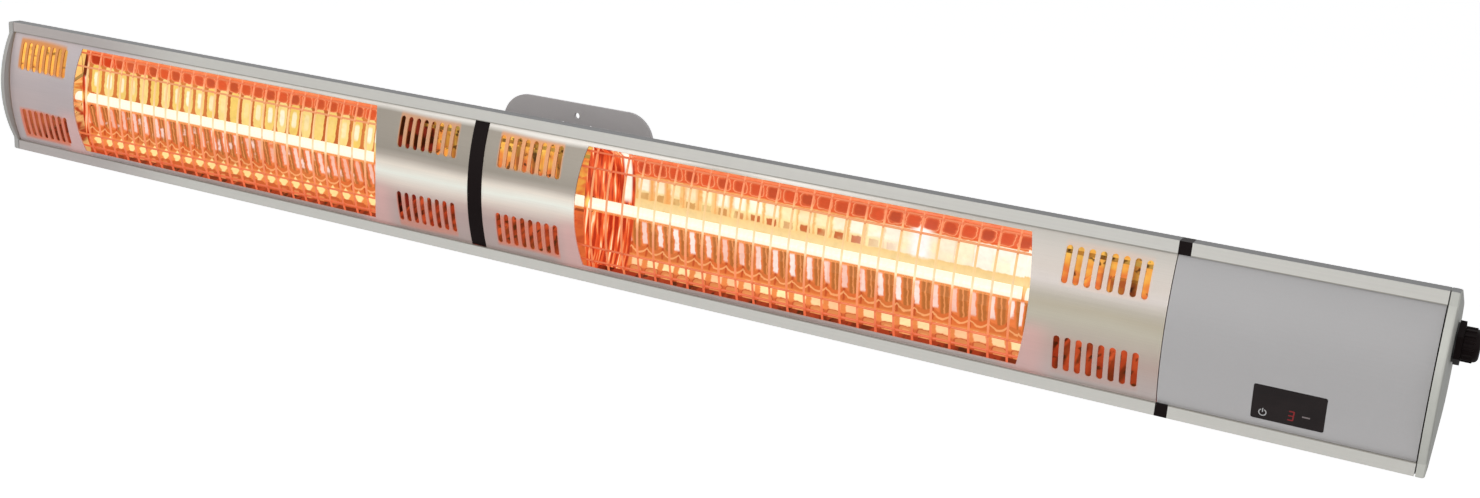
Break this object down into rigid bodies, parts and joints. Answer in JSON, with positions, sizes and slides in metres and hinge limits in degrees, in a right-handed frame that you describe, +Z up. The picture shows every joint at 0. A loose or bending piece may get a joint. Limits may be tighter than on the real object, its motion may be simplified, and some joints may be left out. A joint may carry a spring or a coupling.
{
  "type": "electric bar heater",
  "caption": "Long wall-mounted infrared bar heater with glowing lamps behind wire-guarded windows, vented covers, a control box and a tilting wall bracket.",
  "frame": {"origin": "centre of the wall plate's back face, which lies on the wall", "axes": "+X to the right along the heater as seen from the front, +Y into the wall, +Z up; at rest the heater's front looks straight out of the wall"},
  "size_m": [1.3576, 0.1575, 0.128],
  "materials": {
    "bracket_paint": "satin",
    "zinc_steel": "satin",
    "satin_aluminium": "satin",
    "cap_grey": "satin",
    "brushed_cover": "brushed",
    "black_plastic": "matte",
    "black_rubber": "matte",
    "guard_wire": "bright",
    "reflector": "bright",
    "quartz": "clear",
    "glowing_filament": "glowing",
    "ceramic": "matte",
    "red_silicone": "satin",
    "panel_grey": "satin",
    "dark_window": "gloss",
    "circuit_board": "satin",
    "red_led": "glowing",
    "blue_plastic": "satin",
    "white_plastic": "satin",
    "brass": "satin"
  },
  "bodies": {
    "bracket": {"wall_plate": "bracket_paint", "yoke": "bracket_paint", "yoke_rivets": "zinc_steel", "tilt_bolts": "zinc_steel", "tilt_nuts": "zinc_steel", "friction_washers": "black_rubber"},
    "heater": {"saddle": "bracket_paint", "saddle_screws": "zinc_steel", "backing_plate": "zinc_steel", "housing": "satin_aluminium", "control_housing": "satin_aluminium", "section_spacer": "black_plastic", "heat_shield": "zinc_steel", "left_end_cap": "cap_grey", "right_end_cap": "cap_grey", "left_cap_gasket": "black_rubber", "right_cap_gasket": "black_rubber", "left_cap_screws": "zinc_steel", "right_cap_screws": "zinc_steel", "left_cover": "brushed_cover", "right_cover": "brushed_cover", "joint_strip": "black_plastic", "joint_bridge": "zinc_steel", "left_guard": "guard_wire", "right_guard": "guard_wire", "left_reflector": "reflector", "right_reflector": "reflector", "left_reflector_ends": "reflector", "right_reflector_ends": "reflector", "left_lamp_tube": "quartz", "right_lamp_tube": "quartz", "left_filament": "glowing_filament", "right_filament": "glowing_filament", "left_lamp_caps": "ceramic", "right_lamp_caps": "ceramic", "left_lamp_clips": "zinc_steel", "right_lamp_clips": "zinc_steel", "left_clip_brackets": "zinc_steel", "right_clip_brackets": "zinc_steel", "thermal_cutout": "black_plastic", "lamp_leads": "red_silicone", "control_panel": "panel_grey", "display_window": "dark_window", "display_board": "circuit_board", "led_digit": "red_led", "infrared_receiver": "dark_window", "control_board": "circuit_board", "relays": "blue_plastic", "terminal_block": "white_plastic", "board_standoffs": "brass", "board_screws": "zinc_steel", "earth_screw": "brass", "gland_body": "black_plastic", "gland_nut": "black_plastic", "gland_seal": "black_rubber", "gland_locknut": "black_plastic", "gland_washer": "black_rubber"}
  },
  "joints": [
    {"name": "tilt", "type": "hinge", "parent": "bracket", "child": "heater", "pos_m": [0, -0.039, 0], "axis": [1, 0, 0], "range_deg": [-30, 60]}
  ]
}
